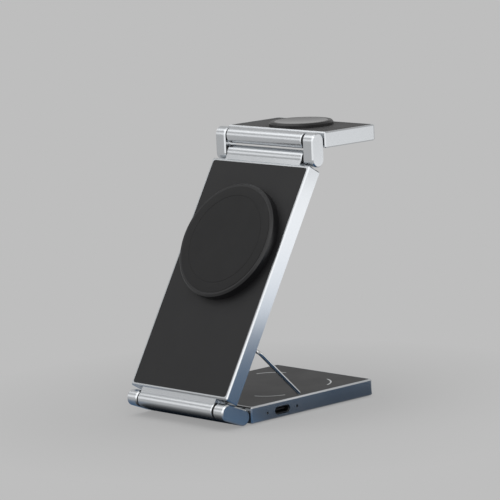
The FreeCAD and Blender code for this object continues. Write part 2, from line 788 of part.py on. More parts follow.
# The base and what it holds.
base_frame = make_frame("base")
cut_port(base_frame)
base_cover = make_cover("base")
seat_feet(base_cover)
base_coil_top = f"{PAD_FACE['base']} - pad_thickness"
base_parts = [
    base_frame,
    make_top_pad("base"),
    base_cover,
    make_screws("base"),
    make_feet(),
    make_socket_shell(),
    make_tongue(),
    make_light_pipes(),
    make_board("base_board", "base", f"{CAVITY_HALF} - board_gap", "base_board_width",
               "port_reach - base_board_lead", "base_board_length"),
    make_ring("earbud_coil", "earbud_reach", "earbud_coil_radius", "earbud_coil_hole",
              f"{base_coil_top} - earbud_coil_height", "earbud_coil_height"),
    make_ring("earbud_ferrite", "earbud_reach", "earbud_ferrite_radius", None,
              f"{base_coil_top} - earbud_coil_height - earbud_ferrite_height", "earbud_ferrite_height"),
]
place(base_parts, base_axis, 0)

# The front hinge: two ears, the axle in the base's barrel and the axle in the panel's barrel.
front_parts = [
    make_ear("front_ear_left", "front_link_span", -1),
    make_ear("front_ear_right", "front_link_span", 1),
    make_axle("front_base_axle", "0"),
    make_axle("front_panel_axle", "front_link_span"),
    make_washers("front_washers", "front_link_span"),
]
place(front_parts, base_axis, link_turn)

# The panel, its phone puck and the bail's saddles.
phone_floor = PAD_FACE["panel"]
phone_ceiling = f"{phone_floor} + phone_puck_height - phone_roof"
magnet_outer = "phone_puck_radius - puck_wall - press_clearance"
panel_parts = [
    make_frame("panel"),
    make_top_pad("panel"),
    make_cover("panel"),
    make_screws("panel"),
    make_board("panel_board", "panel", "panel_board_width / 2", "panel_board_width",
               "bail_rise + saddle_length", "panel_board_length"),
    make_puck("phone", "panel", "phone_face_radius + press_clearance", "phone_face_depth"),
    make_ring("phone_face", "phone_reach", "phone_face_radius", None,
              f"{phone_floor} + phone_puck_height - phone_face_depth",
              "phone_face_depth + phone_face_proud"),
    make_ring("magnet_ring", "phone_reach", magnet_outer, f"{magnet_outer} - magnet_width",
              f"{phone_ceiling} - magnet_height", "magnet_height"),
    make_ring("phone_shield", "phone_reach", "phone_coil_radius", None,
              phone_floor, "phone_shield_height"),
    make_ring("phone_ferrite", "phone_reach", "phone_coil_radius", None,
              f"{phone_floor} + phone_shield_height", "phone_ferrite_height"),
    make_ring("phone_coil", "phone_reach", "phone_coil_radius", "phone_coil_hole",
              f"{phone_floor} + phone_shield_height + phone_ferrite_height",
              "phone_puck_height - phone_roof - phone_shield_height - phone_ferrite_height"),
    make_saddles(),
]
place(panel_parts, front_axis, lean)

# The wire bail, opened until its legs stand on the base.
place([make_bail(bail_length)], bail_axis, bail_turn)

# The top hinge.
top_parts = [
    make_ear("top_ear_left", "top_link_span", -1),
    make_ear("top_ear_right", "top_link_span", 1),
    make_axle("top_panel_axle", "0"),
    make_axle("top_arm_axle", "top_link_span"),
    make_washers("top_washers", "top_link_span"),
]
place(top_parts, panel_axis, value("top_link_angle"))

# The arm and its watch puck.
watch_floor = PAD_FACE["arm"]
watch_room = "watch_puck_height - watch_roof"
watch_dish = make_watch_dish()
arm_parts = [
    make_frame("arm"),
    make_top_pad("arm"),
    make_cover("arm"),
    make_screws("arm"),
    make_puck("watch", "arm", "watch_dish_radius", "watch_dish_thickness"),
    make_ring("watch_ferrite", "watch_reach", "watch_coil_radius", None,
              watch_floor, "watch_ferrite_height"),
    make_ring("watch_coil", "watch_reach", "watch_coil_radius", "watch_coil_hole",
              f"{watch_floor} + watch_ferrite_height", f"{watch_room} - watch_ferrite_height"),
    make_ring("watch_magnet", "watch_reach", "watch_magnet_radius", None,
              f"{watch_floor} + watch_ferrite_height", f"{watch_room} - watch_ferrite_height"),
]
place(arm_parts, arm_axis, 0)
dish_seat = value(f"{watch_floor} + watch_puck_height - watch_dish_thickness")
place([watch_dish], (arm_axis[0] + value("watch_reach"), arm_axis[1] + dish_seat), 0)

doc.recompute()
failed = [thing.Label for thing in doc.Objects if {"Invalid", "Error"} & set(thing.State)]
if failed:
    raise RuntimeError(f"these did not build: {failed}")
bodies = [thing for thing in doc.Objects if thing.isDerivedFrom("PartDesign::Body")]
for body in bodies:
    if body.Shape.isNull() or not body.Shape.isValid():
        raise RuntimeError(f"{body.Label} is not a valid solid")

os.makedirs("parts", exist_ok=True)
for body in bodies:
    body.Shape.exportStep(f"parts/{body.Label}.step")
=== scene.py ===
"""Finishes, small details and studio of a folding three-in-one charging stand."""

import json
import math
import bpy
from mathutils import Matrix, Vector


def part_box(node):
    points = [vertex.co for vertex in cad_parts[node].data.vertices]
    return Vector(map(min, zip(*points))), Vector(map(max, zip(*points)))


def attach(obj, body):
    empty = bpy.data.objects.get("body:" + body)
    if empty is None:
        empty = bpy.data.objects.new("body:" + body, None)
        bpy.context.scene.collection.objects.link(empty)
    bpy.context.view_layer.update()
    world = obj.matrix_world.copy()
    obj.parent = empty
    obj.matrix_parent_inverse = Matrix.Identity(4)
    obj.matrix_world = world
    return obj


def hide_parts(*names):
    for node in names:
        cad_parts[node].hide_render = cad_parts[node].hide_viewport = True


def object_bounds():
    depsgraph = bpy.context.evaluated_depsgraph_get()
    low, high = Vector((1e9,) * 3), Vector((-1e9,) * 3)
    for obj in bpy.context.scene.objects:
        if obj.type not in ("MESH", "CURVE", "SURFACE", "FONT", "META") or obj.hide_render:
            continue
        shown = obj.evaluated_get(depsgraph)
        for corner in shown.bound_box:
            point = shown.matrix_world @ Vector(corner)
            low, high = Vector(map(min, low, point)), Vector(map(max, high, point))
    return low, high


bl_info = {
    "name": "Folding charging stand",
    "version": (1, 0, 0),
    "blender": (4, 5, 0),
    "location": "View3D > Sidebar > Stand",
    "description": "Finishes, small details and studio of a folding three-in-one charging stand",
    "category": "Object",
}

import bmesh
import bpy
from mathutils import Matrix, Vector

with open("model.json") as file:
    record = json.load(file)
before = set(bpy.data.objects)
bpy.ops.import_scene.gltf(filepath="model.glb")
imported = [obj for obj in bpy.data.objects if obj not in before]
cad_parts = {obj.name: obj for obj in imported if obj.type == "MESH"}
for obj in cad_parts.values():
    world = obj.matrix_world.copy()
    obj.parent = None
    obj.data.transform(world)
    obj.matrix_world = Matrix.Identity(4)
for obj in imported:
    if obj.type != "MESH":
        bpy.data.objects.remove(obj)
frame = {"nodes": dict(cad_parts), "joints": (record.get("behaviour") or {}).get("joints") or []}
CAD_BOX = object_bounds()
NODES = frame["nodes"]
JOINTS = {joint["name"]: Vector(joint["pos_m"]) for joint in frame["joints"]}

MM = 0.001
QUARTER_TURN = math.pi / 2
ROUND_STEPS = 96
SMOOTH_ANGLE = math.radians(35)


def linear(code):
    """Turn an sRGB hex colour into linear red, green and blue."""
    shares = [int(code[i:i + 2], 16) / 255 for i in (0, 2, 4)]
    return tuple(s / 12.92 if s <= 0.04045 else ((s + 0.055) / 1.055) ** 2.4 for s in shares)


def ease(place, start, end):
    """How far a place has come from a start to an end, softened at both."""
    share = min(1, max(0, (place - start) / (end - start)))
    return share * share * (3 - 2 * share)


def per_metre(millimetres):
    """The scale of a pattern whose features are this far apart."""
    return 1 / (millimetres * MM)


def waves_per_metre(millimetres):
    """The scale of a wave pattern whose crests are this far apart; at scale 1 it is tau / 20 m."""
    return math.tau / 20 * per_metre(millimetres)


def colour_setting(name, description, code):
    """A colour that a user may change, given as sRGB hex."""
    return bpy.props.FloatVectorProperty(
        name=name, description=description, subtype="COLOR", size=3, min=0, max=1,
        default=linear(code))


def length_setting(name, description, millimetres):
    """A length that a user may change."""
    return bpy.props.FloatProperty(
        name=name, description=description, subtype="DISTANCE", unit="LENGTH",
        default=millimetres * MM, precision=5)


def angle_setting(name, description, degrees):
    """An angle that a user may change."""
    return bpy.props.FloatProperty(
        name=name, description=description, subtype="ANGLE", default=math.radians(degrees))


class StandFinishes(bpy.types.PropertyGroup):
    """Colours of the stand's materials."""

    metal: colour_setting("Metal", "Anodised aluminium of slabs and links", "D6D9DC")
    pad: colour_setting("Pad", "Soft-touch coat of the charging faces", "141416")
    cover: colour_setting("Cover", "Moulded plates that close the backs", "161618")
    puck: colour_setting("Puck", "Moulded puck housings and the polished dish", "151517")
    silicone: colour_setting("Silicone", "Soft face of the phone puck", "1A1A1B")
    rubber: colour_setting("Rubber", "Feet under the base", "17181A")
    washer: colour_setting("Washer", "Friction washers inside the hinges", "101011")
    steel: colour_setting("Steel", "Plating of screws, axles, saddles, shield and magnets", "B9B8B5")
    # The shell's colour is darker than plain steel: painted shade inside the recessed socket.
    shell: colour_setting("Shell", "Deep-drawn shell of the charging socket", "5C5E60")
    tongue: colour_setting("Tongue", "Moulded tongue of the charging socket", "0E0E0F")
    gold: colour_setting("Gold", "Plating of the socket's contacts", "E3B663")
    light_pipe: colour_setting("Light pipe", "Acrylic beside the socket", "14171A")
    wire: colour_setting("Wire", "Drawn and polished wire of the bail", "C9C9C8")
    print_ink: colour_setting("Ink", "Printed marks on the base's pad", "D8DBDC")
    copper: colour_setting("Copper", "Enamelled copper of the coils", "B5673A")
    ferrite: colour_setting("Ferrite", "Sheets behind the coils", "2A2A2C")
    solder_mask: colour_setting("Solder mask", "Lacquer of the circuit boards", "14502F")


class StandDetails(bpy.types.PropertyGroup):
    """Sizes of the details that are added to the solids."""

    mark_radius: length_setting("Mark radius", "Radius of a printed corner arc", 14.5)
    mark_offset: length_setting("Mark offset", "From the coil's centre to an arc's, each way", 9.55)
    mark_width: length_setting("Mark width", "Width of a printed arc", 0.75)
    mark_span: angle_setting("Mark span", "Angle that one printed arc takes", 57)
    contact_pitch: length_setting("Contact pitch", "Distance between the socket's contacts", 0.5)
    contact_width: length_setting("Contact width", "Width of one contact", 0.28)
    recess_width: length_setting("Recess width", "Hexagon recess of a screw, across its flats", 1.3)
    recess_depth: length_setting("Recess depth", "Depth of a screw's recess", 0.45)
    groove_radius: length_setting("Groove radius", "Ring groove in the phone puck's face", 21.5)
    groove_width: length_setting("Groove width", "Width of that groove", 0.7)
    dish_hollow: length_setting("Dish hollow", "Depth of the watch puck's dish in its middle", 0.4)
    coil_pitch: length_setting("Coil pitch", "Distance between the turns of a coil, about", 1.0)


class StandStudio(bpy.types.PropertyGroup):
    """Camera, backdrop and lights."""

    backdrop: colour_setting("Backdrop", "Colour of floor and background", "BEBEBE")
    # The card's two tones are a painted reflection: the near one is darkened as painted shade of the
    # stand, the far one is a bluish painted reflection.
    near_reflection_shade: colour_setting("Card", "Card that only reflections see, close to the stand", "2D3B4B")
    far_painted_reflection: colour_setting("Card, further out", "The same card away from the stand", "48637F")
    strip_width: length_setting("Strip width", "Width of the low light beside the stand", 200)
    strip_bottom: length_setting("Strip bottom", "Height of that light's lower edge", 15.5)
    strip_top: length_setting("Strip top", "Height where that light ends and a dimmer starts", 88)
    dim_strip_top: length_setting("Dim strip top", "Height of the dimmer light's upper edge", 180)
    strip_distance: length_setting("Strip distance", "From the stand's right side to it", 140)
    strip_shift: length_setting("Strip shift", "How far it is moved sideways, to the camera", 20)
    lens: bpy.props.FloatProperty(
        name="Lens", description="Focal length in millimetres", default=225.43, unit="CAMERA")
    distance: length_setting("Distance", "From the camera to the point it looks at", 1432.5)
    azimuth: angle_setting("Azimuth", "Camera's turn from the front to the right", 46.525)
    elevation: angle_setting("Elevation", "Camera's height above the horizon", 8.81)
    roll: angle_setting("Roll", "Camera's turn about its own line of sight", -2.522)
    target: bpy.props.FloatVectorProperty(
        name="Target", description="Point that the camera looks at", subtype="TRANSLATION",
        unit="LENGTH", default=(0.00405, -0.00445, 0.07325))


SETTING_GROUPS = {
    "stand_finishes": StandFinishes,
    "stand_details": StandDetails,
    "stand_studio": StandStudio,
}


def add(tree, kind, links=None, into=None, **settings):
    """Add a node with its settings, set or link its inputs, and link its first output onwards."""
    made = tree.nodes.new(kind)
    for name, setting in settings.items():
        setattr(made, name, setting)
    for socket, source in (links or {}).items():
        if isinstance(source, bpy.types.NodeSocket):
            tree.links.new(source, made.inputs[socket])
        else:
            made.inputs[socket].default_value = source
    if into is not None:
        tree.links.new(made.outputs[0], into)
    return made


def new_material(name, **sockets):
    """A material with its Principled shader, whose constant sockets are set by name."""
    material = bpy.data.materials.new(name)
    material.use_nodes = True
    shader = material.node_tree.nodes["Principled BSDF"]
    for socket, setting in sockets.items():
        shader.inputs[socket.replace("_", " ")].default_value = setting
    return material, material.node_tree, shader


def shade(colour, share):
    """A colour with its light scaled, as four numbers."""
    return (*(min(1, part * share) for part in colour), 1)


def mottle(tree, shader, colour, size_mm, depth, roughness, swing):
    """Let colour and roughness drift a little over the surface, in patches of a given size."""
    place = add(tree, "ShaderNodeTexCoord").outputs["Object"]
    patches = add(tree, "ShaderNodeTexNoise",
                  {"Vector": place, "Scale": per_metre(size_mm), "Detail": 3}).outputs["Fac"]
    tint = add(tree, "ShaderNodeMix",
               {0: patches, 6: shade(colour, 1 - depth), 7: shade(colour, 1 + depth)},
               data_type="RGBA")
    tree.links.new(tint.outputs[2], shader.inputs["Base Color"])
    add(tree, "ShaderNodeMapRange",
        {"Value": patches, "From Min": 0.3, "From Max": 0.7,
         "To Min": roughness - swing, "To Max": roughness + swing},
        into=shader.inputs["Roughness"])
    return place


def blasted_aluminium(colour):
    """Bead-blasted, clear-anodised aluminium: soft silver sheen, and chamfers cut bright."""
    material, tree, shader = new_material("anodised_aluminium_blasted", Metallic=1.0)
    place = mottle(tree, shader, colour, size_mm=22, depth=0.015, roughness=0.255, swing=0.012)
    # A chamfer along a side leans halfway to that side, however its slab is folded.
    halfway, leeway, cut_roughness = math.sqrt(0.5), 0.15, 0.13
    surface = add(tree, "ShaderNodeNewGeometry")
    facing = add(tree, "ShaderNodeSeparateXYZ", {0: surface.outputs["True Normal"]})
    across = add(tree, "ShaderNodeMath", {0: facing.outputs["X"]}, operation="ABSOLUTE")
    cut = add(tree, "ShaderNodeMath", {0: across.outputs[0], 1: halfway, 2: leeway},
              operation="COMPARE").outputs[0]
    blasted = shader.inputs["Roughness"].links[0].from_socket
    add(tree, "ShaderNodeMix", {0: cut, 2: blasted, 3: cut_roughness},
        into=shader.inputs["Roughness"])
    # Grit is about 0.1 mm and is drawn four times as coarse, so that it shows at all.
    grit = add(tree, "ShaderNodeTexNoise", {"Vector": place, "Scale": per_metre(0.4), "Detail": 2})
    left = add(tree, "ShaderNodeMapRange", {"Value": cut, "To Min": 0.12, "To Max": 0.03})
    add(tree, "ShaderNodeBump",
        {"Height": grit.outputs["Fac"], "Distance": 0.004 * MM, "Strength": left.outputs["Result"]},
        into=shader.inputs["Normal"])
    return material


def soft_touch(colour):
    """Polycarbonate with a sprayed soft-touch coat: matt black with a velvety pebble grain."""
    material, tree, shader = new_material(
        "polycarbonate_soft_touch", IOR=1.46, Sheen_Weight=0.05, Sheen_Roughness=0.4)
    place = mottle(tree, shader, colour, size_mm=14, depth=0.12, roughness=0.52, swing=0.03)
    pebble = add(tree, "ShaderNodeTexVoronoi", {"Vector": place, "Scale": per_metre(0.45)})
    add(tree, "ShaderNodeBump",
        {"Height": pebble.outputs["Distance"], "Distance": 0.02 * MM, "Strength": 0.35},
        into=shader.inputs["Normal"])
    return material


def moulded_plastic(name, colour, roughness, grain_mm, grain_depth_mm):
    """Injection-moulded plastic with a spark-eroded grain from its mould: dull, fine speckle."""
    material, tree, shader = new_material(name, IOR=1.52)
    place = mottle(tree, shader, colour, size_mm=18, depth=0.08, roughness=roughness, swing=0.03)
    grain = add(tree, "ShaderNodeTexNoise",
                {"Vector": place, "Scale": per_metre(grain_mm), "Detail": 4, "Roughness": 0.6})
    add(tree, "ShaderNodeBump",
        {"Height": grain.outputs["Fac"], "Distance": grain_depth_mm * MM, "Strength": 0.4},
        into=shader.inputs["Normal"])
    return material


def silicone_rubber(name, colour, roughness):
    """Moulded silicone or rubber: dull, a little dusty, with hardly any grain."""
    material, tree, shader = new_material(name, IOR=1.41)
    place = mottle(tree, shader, colour, size_mm=9, depth=0.2, roughness=roughness, swing=0.04)
    dust = add(tree, "ShaderNodeTexNoise", {"Vector": place, "Scale": per_metre(0.6), "Detail": 5})
    add(tree, "ShaderNodeBump",
        {"Height": dust.outputs["Fac"], "Distance": 0.01 * MM, "Strength": 0.25},
        into=shader.inputs["Normal"])
    return material


def polished_dish(colour):
    """Polycarbonate polished by its mould: black, with sharp reflections and faint ripples."""
    material, tree, shader = new_material("polycarbonate_polished", IOR=1.58)
    place = mottle(tree, shader, colour, size_mm=12, depth=0.1, roughness=0.11, swing=0.015)
    ripple = add(tree, "ShaderNodeTexNoise", {"Vector": place, "Scale": per_metre(3), "Detail": 1})
    add(tree, "ShaderNodeBump",
        {"Height": ripple.outputs["Fac"], "Distance": 0.006 * MM, "Strength": 0.1},
        into=shader.inputs["Normal"])
    return material


def turned_steel(colour):
    """Turned and nickel-plated steel: warm grey metal with faint tool lines round each pin."""
    material, tree, shader = new_material("nickel_plated_steel", Metallic=1.0)
    place = mottle(tree, shader, colour, size_mm=5, depth=0.05, roughness=0.3, swing=0.03)
    # Tool lines are about 0.1 mm apart and are drawn four times as coarse, so that they show.
    lines = add(tree, "ShaderNodeTexWave",
                {"Vector": place, "Scale": waves_per_metre(0.4), "Distortion": 0.6},
                bands_direction="X")
    add(tree, "ShaderNodeBump",
        {"Height": lines.outputs["Fac"], "Distance": 0.003 * MM, "Strength": 0.2},
        into=shader.inputs["Normal"])
    return material


def shaded_drawn_shell(colour):
    """Deep-drawn stainless shell, left as it came from the press: dull, and darkened with painted
    shade of its recess.
    """
    material, tree, shader = new_material("stainless_deep_drawn_with_painted_shade", Metallic=1.0)
    mottle(tree, shader, colour, size_mm=2, depth=0.06, roughness=0.42, swing=0.04)
    return material


def drawn_wire(colour):
    """Drawn stainless wire, tumbled bright: near-mirror, with hair-fine scratches."""
    material, tree, shader = new_material("stainless_wire_polished", Metallic=1.0)
    place = mottle(tree, shader, colour, size_mm=6, depth=0.04, roughness=0.14, swing=0.02)
    # Scratches are finer than 0.1 mm and are drawn much coarser, so that they show.
    scratch = add(tree, "ShaderNodeTexNoise",
                  {"Vector": place, "Scale": per_metre(0.8), "Detail": 6})
    add(tree, "ShaderNodeBump",
        {"Height": scratch.outputs["Fac"], "Distance": 0.004 * MM, "Strength": 0.15},
        into=shader.inputs["Normal"])
    return material


def printed_ink(colour):
    """Pad-printed ink: a flat pale film, slightly uneven in tone."""
    material, tree, shader = new_material("pad_printed_ink", IOR=1.5)
    mottle(tree, shader, colour, size_mm=2, depth=0.06, roughness=0.45, swing=0.05)
    return material


def gold_plate(colour):
    """Hard-gold plating on stamped contacts: small warm glints."""
    material, tree, shader = new_material("hard_gold_plating", Metallic=1.0)
    mottle(tree, shader, colour, size_mm=1, depth=0.06, roughness=0.24, swing=0.04)
    return material


def frosted_acrylic(colour):
    """Moulded acrylic light pipe, frosted at its end: dark while its lamp is off."""
    material, tree, shader = new_material("acrylic_frosted", IOR=1.49, Transmission_Weight=0.6)
    mottle(tree, shader, colour, size_mm=1, depth=0.1, roughness=0.4, swing=0.05)
    return material


def copper_strands(colour):
    """Enamelled copper strands, twisted and pressed flat: warm metal with slanting lines."""
    material, tree, shader = new_material("enamelled_copper_strands", Metallic=0.9)
    place = mottle(tree, shader, colour, size_mm=8, depth=0.08, roughness=0.32, swing=0.03)
    # Strands are about 0.1 mm thick and are drawn four times as coarse, so that they show.
    strands = add(tree, "ShaderNodeTexWave", {"Vector": place, "Scale": waves_per_metre(0.4)},
                  bands_direction="DIAGONAL")
    add(tree, "ShaderNodeBump",
        {"Height": strands.outputs["Fac"], "Distance": 0.03 * MM, "Strength": 0.6},
        into=shader.inputs["Normal"])
    return material


def sintered_ferrite(colour):
    """Sintered ferrite sheet: dull grey-black ceramic, crazed where it was snapped into flakes."""
    material, tree, shader = new_material("sintered_ferrite", IOR=2.0)
    place = mottle(tree, shader, colour, size_mm=6, depth=0.15, roughness=0.55, swing=0.05)
    cracks = add(tree, "ShaderNodeTexVoronoi", {"Vector": place, "Scale": per_metre(3)},
                 feature="DISTANCE_TO_EDGE")
    add(tree, "ShaderNodeBump",
        {"Height": cracks.outputs["Distance"], "Distance": 0.05 * MM, "Strength": 0.5},
        into=shader.inputs["Normal"])
    return material


def lacquered_board(colour):
    """Glass-fibre board under green lacquer: half gloss, with the weave faintly showing through."""
    material, tree, shader = new_material("glass_fibre_board", IOR=1.55)
    place = mottle(tree, shader, colour, size_mm=4, depth=0.15, roughness=0.35, swing=0.05)
    weave = add(tree, "ShaderNodeTexWave",
                {"Vector": place, "Scale": waves_per_metre(0.5), "Distortion": 1.0})
    add(tree, "ShaderNodeBump",
        {"Height": weave.outputs["Fac"], "Distance": 0.01 * MM, "Strength": 0.3},
        into=shader.inputs["Normal"])
    return material


def assign(material, *names):
    """Give CAD nodes a material."""
    for name in names:
        slots = NODES[name].data.materials
        slots.clear()
        slots.append(material)


def new_object(name, shape, material):
    """Make an object of one material from a built shape, and put it into the scene."""
    mesh = bpy.data.meshes.new(name)
    shape.to_mesh(mesh)
    shape.free()
    mesh.materials.append(material)
    made = bpy.data.objects.new(name, mesh)
    bpy.context.scene.collection.objects.link(made)
    return made


def new_piece(name, shape, material, body, slot, *stands_for):
    """Make a piece from a built shape, and let it ride on a body and stand for CAD nodes."""
    bmesh.ops.recalc_face_normals(shape, faces=shape.faces)
    piece = new_object(name, shape, material)
    piece.data.shade_smooth()
    piece.data.set_sharp_from_angle(angle=SMOOTH_ANGLE)
    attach(piece, body)
    if stands_for:
        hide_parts(*stands_for)


def slab_frame(pivot, along):
    """Matrix from a slab's axes to the stand's: x across, y from the hinge, z out of its face."""
    across = Vector((1, 0, 0))
    away = Vector(along).normalized()
    turned = Matrix((across, away, across.cross(away))).transposed()
    return Matrix.Translation(pivot) @ turned.to_4x4()


SLABS = {
    "base": slab_frame(JOINTS["fold"], (0, 1, 0)),
    "panel": slab_frame(JOINTS["lean"], JOINTS["arm_fold"] - JOINTS["lean"]),
    "arm": slab_frame(JOINTS["arm_tilt"], (0, 1, 0)),
}


def local_points(node, slab):
    """A CAD node's points in the axes of a slab."""
    inverse = SLABS[slab].inverted()
    return [inverse @ vertex.co for vertex in NODES[node].data.vertices]


def span(points):
    """Lowest and highest corner of some points."""
    low = Vector(min(point[i] for point in points) for i in range(3))
    high = Vector(max(point[i] for point in points) for i in range(3))
    return low, high


def corner_spans(node, slab):
    """Boxes of the four like solids of a node, one in each corner of a slab."""
    points = local_points(node, slab)
    low, high = span(points)
    middle = (low + high) / 2
    corners = [[], [], [], []]
    for point in points:
        corners[(point.x > middle.x) + 2 * (point.y > middle.y)].append(point)
    return [span(corner) for corner in corners]


def round_axes(slab, low, high):
    """Matrix from a round solid's own axes, z along its axis, to the stand's."""
    middle = (low + high) / 2
    return SLABS[slab] @ Matrix.Translation((middle.x, middle.y, 0))


def heading(turn):
    """The direction at an angle from x, in the plane of x and y."""
    return Vector((math.cos(turn), math.sin(turn), 0))


def skin(shape, rows):
    """Close a solid round rows of points, each of which goes once round it."""
    for first, second in zip(rows, rows[1:]):
        for i in range(len(first)):
            shape.faces.new((first[i - 1], first[i], second[i], second[i - 1]))
    shape.faces.new(rows[0])
    shape.faces.new(rows[-1])


def add_ring(shape, matrix, radius, height):
    """A closed ring of points about z; the radius may be a function of the angle."""
    ring = []
    for step in range(ROUND_STEPS):
        turn = math.tau * step / ROUND_STEPS
        reach = radius(turn) if callable(radius) else radius
        point = heading(turn) * reach + Vector((0, 0, height))
        ring.append(shape.verts.new(matrix @ point))
    return ring


def turn_profile(shape, matrix, profile):
    """A closed solid of rings, each a radius and a height, from its top middle to its bottom."""
    skin(shape, [add_ring(shape, matrix, radius, height) for radius, height in profile])


def rounded_edge(radius, face, bend, steps):
    """Profile of a disc's rounded edge, from its face outwards; a lower face's bend is negative."""
    turns = [QUARTER_TURN * step / steps for step in range(steps + 1)]
    return [(radius - abs(bend) * (1 - math.sin(turn)), face - bend * (1 - math.cos(turn)))
            for turn in turns]


def hexagon(across_flats):
    """Reach of a hexagon as a function of the angle."""
    sixth = math.pi / 3
    return lambda turn: across_flats / 2 / math.cos(turn % sixth - sixth / 2)


class STAND_OT_metal(bpy.types.Operator):
    """Finish the slabs' frames and the hinge links in blasted, anodised aluminium."""

    bl_idname = "stand.metal"
    bl_label = "Metal slabs and links"

    def execute(self, context):
        material = blasted_aluminium(context.scene.stand_finishes.metal)
        assign(material, "base_frame", "panel_frame", "arm_frame")
        assign(material, "front_ear_left", "front_ear_right", "top_ear_left", "top_ear_right")
        return {"FINISHED"}


class STAND_OT_faces(bpy.types.Operator):
    """Finish the charging faces and the plates that close the slabs' backs."""

    bl_idname = "stand.faces"
    bl_label = "Pads and covers"

    def execute(self, context):
        finishes = context.scene.stand_finishes
        assign(soft_touch(finishes.pad), "base_pad", "panel_pad", "arm_pad")
        cover = moulded_plastic("abs_moulded_cover", finishes.cover, roughness=0.5,
                                grain_mm=0.5, grain_depth_mm=0.03)
        assign(cover, "base_cover", "panel_cover", "arm_cover")
        return {"FINISHED"}


class STAND_OT_marks(bpy.types.Operator):
    """Print four corner arcs on the base's pad, round the earbud coil."""

    bl_idname = "stand.marks"
    bl_label = "Printed marks"

    def execute(self, context):
        low, high = span(local_points("earbud_coil", "base"))
        center = (low + high) / 2
        center.z = span(local_points("base_pad", "base"))[1].z
        shape = bmesh.new()
        for quarter in range(4):
            facing = QUARTER_TURN * (quarter + 0.5)
            self.add_arc(shape, center, facing, context.scene.stand_details)
        ink = printed_ink(context.scene.stand_finishes.print_ink)
        new_piece("pad_marks", shape, ink, "base", "black_pad")
        return {"FINISHED"}

    @staticmethod
    def add_arc(shape, center, facing, details):
        """One arc: a film of ink, bent round a point on the diagonal that it faces."""
        film, steps = 0.02 * MM, 24
        diagonal = details.mark_offset * math.sqrt(2)
        origin = center + heading(facing) * diagonal
        rows = []
        for step in range(steps + 1):
            away = heading(facing + details.mark_span * (step / steps - 0.5))
            row = []
            for side, height in ((-1, 0), (-1, film), (1, film), (1, 0)):
                reach = details.mark_radius + side * details.mark_width / 2
                point = origin + away * reach + Vector((0, 0, height))
                row.append(shape.verts.new(SLABS["base"] @ point))
            rows.append(row)
        skin(shape, rows)


class STAND_OT_steel(bpy.types.Operator):
    """Finish the steel parts, and replace the plain screws by ones with a hexagon recess."""

    bl_idname = "stand.steel"
    bl_label = "Axles, screws and other steel"

    def execute(self, context):
        steel = turned_steel(context.scene.stand_finishes.steel)
        assign(steel, "front_base_axle", "front_panel_axle", "top_panel_axle", "top_arm_axle")
        assign(steel, "bail_saddles", "phone_shield", "magnet_ring", "watch_magnet")
        for slab in SLABS:
            shape = bmesh.new()
            cover_inside = span(local_points(f"{slab}_cover", slab))[1].z
            for low, high in corner_spans(f"{slab}_screws", slab):
                self.add_screw(shape, slab, low, high, cover_inside, context.scene.stand_details)
            new_piece(f"{slab}_hex_screws", shape, steel, slab, "steel", f"{slab}_screws")
        return {"FINISHED"}

    @staticmethod
    def add_screw(shape, slab, low, high, cover_inside, details):
        """One screw: recessed head flush with the cover's outside, then its shank."""
        # The head's share of the cover's thickness, and the shank's share of the head's width.
        head_share, shank_share, edge = 0.7, 0.47, 0.12 * MM
        # The recess's floor starts from a round ring of this share of the head's width, because a
        # cap with points in line splits badly.
        core_share = 0.3
        head_radius = (high.x - low.x) / 2
        head_base = low.z + head_share * (cover_inside - low.z)
        shank_radius = shank_share * head_radius
        recess = hexagon(details.recess_width)
        turn_profile(shape, round_axes(slab, low, high), [
            (core_share * head_radius, low.z + details.recess_depth),
            (recess, low.z + details.recess_depth),
            (recess, low.z),
            (head_radius - edge, low.z),
            (head_radius, low.z + edge),
            (head_radius, head_base),
            (shank_radius, head_base),
            (shank_radius, high.z),
        ])


class STAND_OT_feet(bpy.types.Operator):
    """Replace the plain feet by round pads whose lower edges are rounded."""

    bl_idname = "stand.feet"
    bl_label = "Feet"

    def execute(self, context):
        bend, bends = 0.3 * MM, 6
        shape = bmesh.new()
        for low, high in corner_spans("base_feet", "base"):
            radius = (high.x - low.x) / 2
            edge = reversed(rounded_edge(radius, low.z, -bend, bends))
            turn_profile(shape, round_axes("base", low, high), [(radius, high.z), *edge])
        rubber = silicone_rubber("rubber_foot", context.scene.stand_finishes.rubber, roughness=0.7)
        new_piece("soft_feet", shape, rubber, "base", "rubber_foot", "base_feet")
        return {"FINISHED"}


class STAND_OT_washers(bpy.types.Operator):
    """Finish the friction washers inside the hinges."""

    bl_idname = "stand.washers"
    bl_label = "Washers"

    def execute(self, context):
        washer = moulded_plastic("acetal_washer", context.scene.stand_finishes.washer,
                                 roughness=0.4, grain_mm=0.3, grain_depth_mm=0.01)
        assign(washer, "front_washers", "top_washers")
        return {"FINISHED"}


class STAND_OT_bail(bpy.types.Operator):
    """Finish the wire that props the panel."""

    bl_idname = "stand.bail"
    bl_label = "Wire bail"

    def execute(self, context):
        assign(drawn_wire(context.scene.stand_finishes.wire), "prop_bail")
        return {"FINISHED"}


